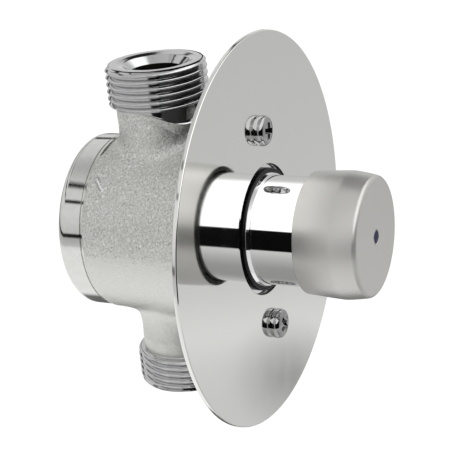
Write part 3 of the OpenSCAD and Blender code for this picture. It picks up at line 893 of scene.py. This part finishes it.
class TAP_OT_sleeve(bpy.types.Operator):
    """Turns the chromed sleeve with its flange and collar, and the black ring round its root"""
    bl_idname = "tap.sleeve"
    bl_label = "Sleeve and ring"

    def execute(self, context):
        size = context.scene.tap_trim
        self.sleeve(size)
        self.ring(size)
        return {"FINISHED"}

    def sleeve(self, size):
        """The sleeve: a tube with a flange behind the plate and a screwed shank."""
        skin, bore, shank = size.sleeve_radius, size.sleeve_bore, size.shank_radius
        collar = skin + size.collar
        step = RING_FRONT - size.collar_cone
        bm = lathe(
            [(bore, SLEEVE_FRONT), (skin, SLEEVE_FRONT), (skin, step), (skin + size.collar_step, step),
             (collar, RING_FRONT), (collar, 0), (SLEEVE_FLANGE_R, 0), (SLEEVE_FLANGE_R, WASHER_FRONT),
             (shank, WASHER_FRONT), (shank, SLEEVE_BACK), (bore, SLEEVE_BACK)],
            steps=size.steps,
            rounds=[(1, 0.5 * MM), (3, 0.12 * MM), (4, 0.1 * MM), (6, 0.3 * MM), (7, 0.3 * MM)],
        )
        place_piece(bm, "sleeve_dressed", "sleeve", "bonnet_sleeve", crease=25)

    def ring(self, size):
        """The ring: a moulded washer with a shallow groove in its front."""
        inner = size.sleeve_radius + size.collar + 0.05 * MM
        groove, lip = inner + 0.4 * (RING_R - inner), 0.12 * MM
        bm = lathe(
            [(inner, RING_BACK), (inner, RING_FRONT + 0.05 * MM), (groove - lip, RING_FRONT + 0.02 * MM),
             (groove, RING_FRONT + 0.15 * MM), (groove + lip, RING_FRONT), (RING_R, RING_FRONT),
             (RING_R, RING_BACK)],
            steps=size.steps, rounds=[(1, 0.1 * MM), (2, 0.06 * MM), (5, 0.35 * MM)],
        )
        place_piece(bm, "sleeve_ring_dressed", "rubber", "sleeve_ring", crease=40)


class TAP_OT_button(bpy.types.Operator):
    """Turns the push button and lays the enamel dot in its face"""
    bl_idname = "tap.button"
    bl_label = "Push button"

    # Points on the front edge's round and on each half of the side
    round_steps = 10
    side_steps = 24
    # How the side swells: 1 is a straight cone, more is fuller
    swell = 1.3
    # Slope in degrees where the front edge's round ends
    tilt = 15

    def execute(self, context):
        size = context.scene.tap_trim
        floor = BUTTON_FACE + size.button_wall
        recess, bend, cavity = DOT_R + 0.05 * MM, size.button_round, size.button_cavity
        middle = (size.button_front_radius - bend, BUTTON_FACE + bend)
        span = math.pi / 2 - math.radians(self.tilt)
        angles = [-math.pi / 2 + span * k / self.round_steps for k in range(self.round_steps + 1)]
        turn = [(middle[0] + bend * math.cos(a), middle[1] + bend * math.sin(a)) for a in angles]
        front = [self.side(size, turn[-1], k) for k in range(self.side_steps - 1, -1, -1)]
        rear = [self.side(size, (size.button_rear_radius, BUTTON_REAR), k) for k in range(1, self.side_steps + 1)]
        outline = [(0, DOT_BACK), (recess, DOT_BACK), (recess, BUTTON_FACE)] + turn + front + rear
        outline += [(cavity, BUTTON_REAR), (cavity, floor), (0, floor)]
        open_edge = len(outline) - 4
        bm = lathe(
            outline, steps=size.steps,
            rounds=[(2, 0.3 * MM), (open_edge, 0.12 * MM), (open_edge + 1, 0.08 * MM)],
        )
        # The rear face and the hollow take the near-black bore finish: painted shade inside the button
        inside = ("bore", lambda centre, normal: (
            centre.y > floor and (normal.y > 0.5 or from_axis(centre) < cavity + 0.2 * MM)))
        place_piece(bm, "push_button_dressed", "satin", "push_button", "plunger", 30, inside)
        self.dot()
        return {"FINISHED"}

    def side(self, size, end, step):
        """A point on the button's side, from its widest part to one end."""
        share, mid = step / self.side_steps, -size.button_mid
        return BUTTON_R + (end[0] - BUTTON_R) * share ** self.swell, mid + (end[1] - mid) * share

    def dot(self):
        """The dot: a shallow enamel dome in a bright rim."""
        bm = lathe(
            [(0, DOT_BACK), (0, BUTTON_FACE), (0.45 * DOT_R, BUTTON_FACE + 0.01 * MM),
             (0.9 * DOT_R, BUTTON_FACE + 0.06 * MM), (0.96 * DOT_R, BUTTON_FACE + 0.04 * MM),
             (DOT_R, BUTTON_FACE + 0.08 * MM), (DOT_R, DOT_BACK)],
            steps=64,
        )
        rim = ("sleeve", lambda centre, normal: from_axis(centre) > 0.95 * DOT_R)
        place_piece(bm, "index_dot_dressed", "dot", "index_dot", "plunger", other=rim)


class TAP_OT_return_spring(bpy.types.Operator):
    """Winds the return spring, which stays as wound here; in the tap it is squeezed between the piston and the cap as
    the button goes in
    """
    bl_idname = "tap.return_spring"
    bl_label = "Return spring"

    def execute(self, context):
        size = context.scene.tap_spring
        wire = size.wire_radius
        total = round(size.steps * size.coils)
        free = SPRING_BACK - SPRING_FRONT
        start = Matrix.Translation((SPRING_R - wire, SPRING_FRONT + wire, 0))
        bm = bmesh.new()
        verts = bmesh.ops.create_circle(bm, cap_ends=False, radius=wire, segments=20, matrix=start)["verts"]
        wind(bm, verts, (free - 2 * wire) / total, math.tau * total / size.steps, total)
        coil = place_piece(bm, "return_spring_coil", "steel", "return_spring", crease=50)
        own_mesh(coil)
        return {"FINISHED"}


class TAP_OT_inner_pieces(bpy.types.Operator):
    """Gives the pieces inside the body and sleeve their finishes"""
    bl_idname = "tap.inner_pieces"
    bl_label = "Inner pieces"

    worn_by = {
        "brass": ["chamber_cap", "valve_seat", "button_hub", "piston", "washer_holder", "stem_nut"],
        "rubber": ["cap_o_ring", "seat_gasket", "piston_seal", "valve_washer"],
        "acetal": ["guide_bush", "inlet_strainer", "flow_disc"],
        "steel": ["stem", "piston_clip"],
        "fibre": ["flange_washer"],
    }

    def execute(self, context):
        for name, nodes in self.worn_by.items():
            for node in nodes:
                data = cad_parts[node].data
                data.materials.clear()
                data.materials.append(finish(name))
        return {"FINISHED"}


class TAP_OT_studio(bpy.types.Operator):
    """Sets up the floor, the studio light and the camera"""
    bl_idname = "tap.studio"
    bl_label = "Studio"

    # The camera's place, found from the outlines in the photograph
    azimuth = -63.37
    elevation = 19.67
    roll = 5.52
    distance = 0.35348
    focal_pixels = 1362.66
    picture_pixels = 452
    aside = -0.01055
    above = 0.00183
    forward = -1.2 * MM

    floor_z = -0.3
    floor_size = 6.0

    # What the metal sees of the studio, as (height of the direction, brightness): in front of the wall on the
    # camera's side, between that and the wall's plane, in front on the far side, far behind the wall, just behind
    # it, and behind it on the far side
    brightest = 2.6
    seen_before = ((-1, 0.35), (-0.85, 0.4), (-0.6, 0.6), (-0.42, 0.75), (-0.38, 0.7), (-0.365, 0.004),
                   (0.285, 0.004), (0.3, 1.6), (1, 1.6))
    seen_between = ((-1, 0.8), (-0.38, 0.8), (-0.36, 0.01), (0.2, 0.01), (0.24, 0.5), (0.6, 0.7), (0.7, 1.2),
                    (1, 0.55))
    seen_beside = ((-1, 0.5), (-0.46, 0.64), (-0.434, 0.68), (-0.41, 0.78), (-0.38, 0.66), (-0.34, 0.6), (-0.2, 0.55),
                   (0.05, 0.63), (0.5, 0.75), (0.6, 1.1), (0.68, 1.6), (1, 1.6))
    seen_behind = ((-1, 1.0), (-0.4, 0.95), (-0.33, 0.9), (-0.28, 0.62), (-0.2, 0.55), (-0.14, 0.5), (-0.11, 0.01),
                   (-0.06, 0.01), (-0.03, 0.65), (0.1, 0.72), (0.35, 0.8), (0.6, 0.78), (0.8, 0.7), (0.92, 0.35),
                   (1, 0.6))
    seen_beyond = ((-1, 1.0), (-0.9, 0.97), (-0.75, 0.92), (-0.57, 0.8), (-0.35, 0.6), (-0.11, 0.54), (0.12, 0.68),
                   (0.34, 0.8), (0.54, 0.78), (0.71, 0.72), (0.93, 0.66), (1, 0.6))
    seen_far = ((-1, 0.15), (-0.12, 0.15), (-0.05, 0.2), (0, 0.8), (0.3, 0.7), (0.42, 0.6), (0.5, 0.02), (0.93, 0.02),
                (0.97, 0.5), (1, 0.6))
    # Dark bars of the frame behind, as (tilt of the direction about the X axis, share of the light that is left)
    frame_bars = ((-1, 1), (0.54, 1), (0.57, 0.03), (0.67, 0.03), (0.7, 1), (1.1, 1), (1.14, 0.03), (1.26, 0.03),
                  (1.3, 1), (3, 1))
    # Direction of a dark patch low on the far side
    dark_patch = (0.818, -0.370, -0.441)
    # Lean of the dark bars, and slope of the line behind which the far side begins
    bar_lean = 0.335
    far_slope = -0.55

    def execute(self, context):
        self.camera(context)
        self.floor()
        self.world(context)
        self.lamp("key_softbox", (-0.35, -0.75, 0.85), 0.7, 5.0)
        self.lamp("fill_softbox", (-0.9, 0.55, 0.35), 0.6, 2.0)
        context.scene.view_settings.view_transform = "Standard"
        return {"FINISHED"}

    def camera(self, context):
        """A camera at the photograph's viewing angle."""
        a, e, r = (math.radians(v) for v in (self.azimuth, self.elevation, self.roll))
        back = Vector((math.sin(a) * math.cos(e), -math.cos(a) * math.cos(e), math.sin(e)))
        right = Vector((math.cos(a), math.sin(a), 0))
        up = back.cross(right)
        spot = right * self.aside + up * self.above + back * self.distance + Vector((0, self.forward, 0))
        across = right * math.cos(r) - up * math.sin(r)
        upward = right * math.sin(r) + up * math.cos(r)
        data = bpy.data.cameras.new("photo_camera")
        data.sensor_width = 36
        data.lens = self.focal_pixels / self.picture_pixels * data.sensor_width
        data.clip_start = 0.01
        camera = new_object("photo_camera", data)
        camera.matrix_world = Matrix.Translation(spot) @ Matrix((across, upward, back)).transposed().to_4x4()
        context.scene.camera = camera

    def floor(self):
        """A pale floor well below the tap, white to the camera but for the tap's shadow."""
        bm = bmesh.new()
        bmesh.ops.create_grid(bm, x_segments=1, y_segments=1, size=self.floor_size / 2,
                              matrix=Matrix.Translation((0, 0, self.floor_z)))
        floor = new_object("pale_floor", to_mesh(bm, "pale_floor"))
        material, tree, _ = new_material("pale_floor_paint")
        watched = add_node(tree, "ShaderNodeLightPath").outputs["Is Camera Ray"]
        paint_coat = add_node(tree, "ShaderNodeBsdfDiffuse", {"Color": linear("#E2E2E0")})
        white = add_node(tree, "ShaderNodeEmission", {"Color": WHITE, "Strength": 1.12})
        mix = add_node(tree, "ShaderNodeMixShader", {
            0: times(tree, watched, 0.85), 1: paint_coat.outputs["BSDF"], 2: white.outputs["Emission"],
        })
        add_node(tree, "ShaderNodeOutputMaterial", {"Surface": mix.outputs["Shader"]})
        floor.data.materials.append(material)
        floor.visible_glossy = False

    def world(self, context):
        """White to the camera; to the metal, a white tent with a dark gap on the camera's side."""
        world = bpy.data.worlds.new("studio_tent")
        context.scene.world = world
        world.use_nodes = True
        tree = world.node_tree
        tree.nodes.clear()
        way = add_node(tree, "ShaderNodeTexCoord").outputs["Generated"]
        across, deep, height = split(tree, way)
        # Behind the wall: the tent with its dark bars, then the plain tent far behind, then what is low or far right
        tilt = maths(tree, "DIVIDE", maths(tree, "MULTIPLY_ADD", across, self.bar_lean, height),
                     maths(tree, "MAXIMUM", deep, 0.05))
        behind = times(tree, self.levels(tree, height, self.seen_behind), self.levels(tree, tilt, self.frame_bars))
        behind = self.blend(tree, deep, (0.42, 0.47), self.levels(tree, height, self.seen_beyond), behind)
        right = ranged(tree, across, 0.2, 0.35)
        low = times(tree, right, ranged(tree, height, -0.2, -0.12, 1, 0))
        low = times(tree, low, ranged(tree, deep, 0.5, 0.6, 1, 0))
        behind = mixed(tree, low, behind, times(tree, behind, 0.15), "FLOAT")
        bearing = maths(tree, "MULTIPLY_ADD", across, self.far_slope, deep)
        far_side = times(tree, right, ranged(tree, bearing, 0.0, 0.05, 1, 0))
        behind = mixed(tree, far_side, behind, self.levels(tree, height, self.seen_far), "FLOAT")
        # In front of the wall: the camera's side, then the far side with its dark patch
        before = self.blend(tree, deep, (-0.34, -0.3), self.levels(tree, height, self.seen_before),
                            self.levels(tree, height, self.seen_between))
        smudge = vectors(tree, "DISTANCE", "Value", {0: way, 1: self.dark_patch})
        patched = times(tree, self.levels(tree, height, self.seen_beside), ranged(tree, smudge, 0, 0.045, 0.5, 1))
        room = self.blend(tree, across, (0.15, 0.6), before, patched)
        room = self.blend(tree, deep, (-0.11, -0.08), room, behind)
        watched = add_node(tree, "ShaderNodeLightPath").outputs["Is Camera Ray"]
        light = add_node(tree, "ShaderNodeBackground", {"Color": mixed(tree, watched, room, WHITE), "Strength": 1.0})
        add_node(tree, "ShaderNodeOutputWorld", {"Surface": light.outputs["Background"]})

    def levels(self, tree, value, stops):
        """Brightness that follows a value: stops are (value, brightness), lowest value first."""
        first, last = stops[0][0], stops[-1][0]
        node = add_node(tree, "ShaderNodeFloatCurve", {"Value": ranged(tree, value, first, last, 0, 1)})
        node.mapping.use_clip = False
        curve = node.mapping.curves[0]
        points = [((at - first) / (last - first), level / self.brightest) for at, level in stops]
        curve.points[0].location, curve.points[1].location = points[0], points[-1]
        for place in points[1:-1]:
            curve.points.new(*place)
        for point in curve.points:
            point.handle_type = "VECTOR"
        node.mapping.update()
        return times(tree, node.outputs["Value"], self.brightest)

    def blend(self, tree, value, span, low, high):
        """One brightness where a value is below a span, the other where it is above."""
        return mixed(tree, ranged(tree, value, *span), low, high, "FLOAT")

    def lamp(self, name, spot, side, watts):
        """A square softbox that faces the tap."""
        data = bpy.data.lights.new(name, "AREA")
        data.shape = "SQUARE"
        data.size = side
        data.energy = watts
        lamp = new_object(name, data)
        lamp.location = spot
        lamp.visible_glossy = False
        lamp.rotation_euler = (-Vector(spot)).to_track_quat("-Z", "Y").to_euler()

class TAP_PT_panel(bpy.types.Panel):
    """Lists the tap's pieces and sizes"""
    bl_idname = "TAP_PT_panel"
    bl_label = "Concealed push tap"
    bl_space_type = "VIEW_3D"
    bl_region_type = "UI"
    bl_category = "Tap"

    def draw(self, context):
        for operator in OPERATORS:
            self.layout.operator(operator.bl_idname)
        for group in GROUPS:
            settings = getattr(context.scene, group)
            box = self.layout.box()
            for name in settings.bl_rna.properties.keys():
                if name not in ("rna_type", "name"):
                    box.prop(settings, name)


OPERATORS = (
    TAP_OT_studio, TAP_OT_casting, TAP_OT_band, TAP_OT_ports, TAP_OT_wall_plate, TAP_OT_plate_screws,
    TAP_OT_sleeve, TAP_OT_button, TAP_OT_return_spring, TAP_OT_inner_pieces,
)
GROUPS = {
    "tap_casting": TapCasting, "tap_ports": TapPorts, "tap_trim": TapTrim, "tap_spring": TapSpring,
    "tap_colours": TapColours,
}


def register():
    """Registers the settings, the operators and the panel."""
    for name, group in GROUPS.items():
        bpy.utils.register_class(group)
        setattr(bpy.types.Scene, name, PointerProperty(type=group))
    for operator in OPERATORS:
        bpy.utils.register_class(operator)
    bpy.utils.register_class(TAP_PT_panel)


def unregister():
    """Takes them away again."""
    bpy.utils.unregister_class(TAP_PT_panel)
    for operator in reversed(OPERATORS):
        bpy.utils.unregister_class(operator)
    for name, group in GROUPS.items():
        delattr(bpy.types.Scene, name)
        bpy.utils.unregister_class(group)


def main():
    """Makes every piece in turn."""
    register()
    for operator in OPERATORS:
        group, name = operator.bl_idname.split(".")
        getattr(getattr(bpy.ops, group), name)()


if __name__ == "__main__":
    main()
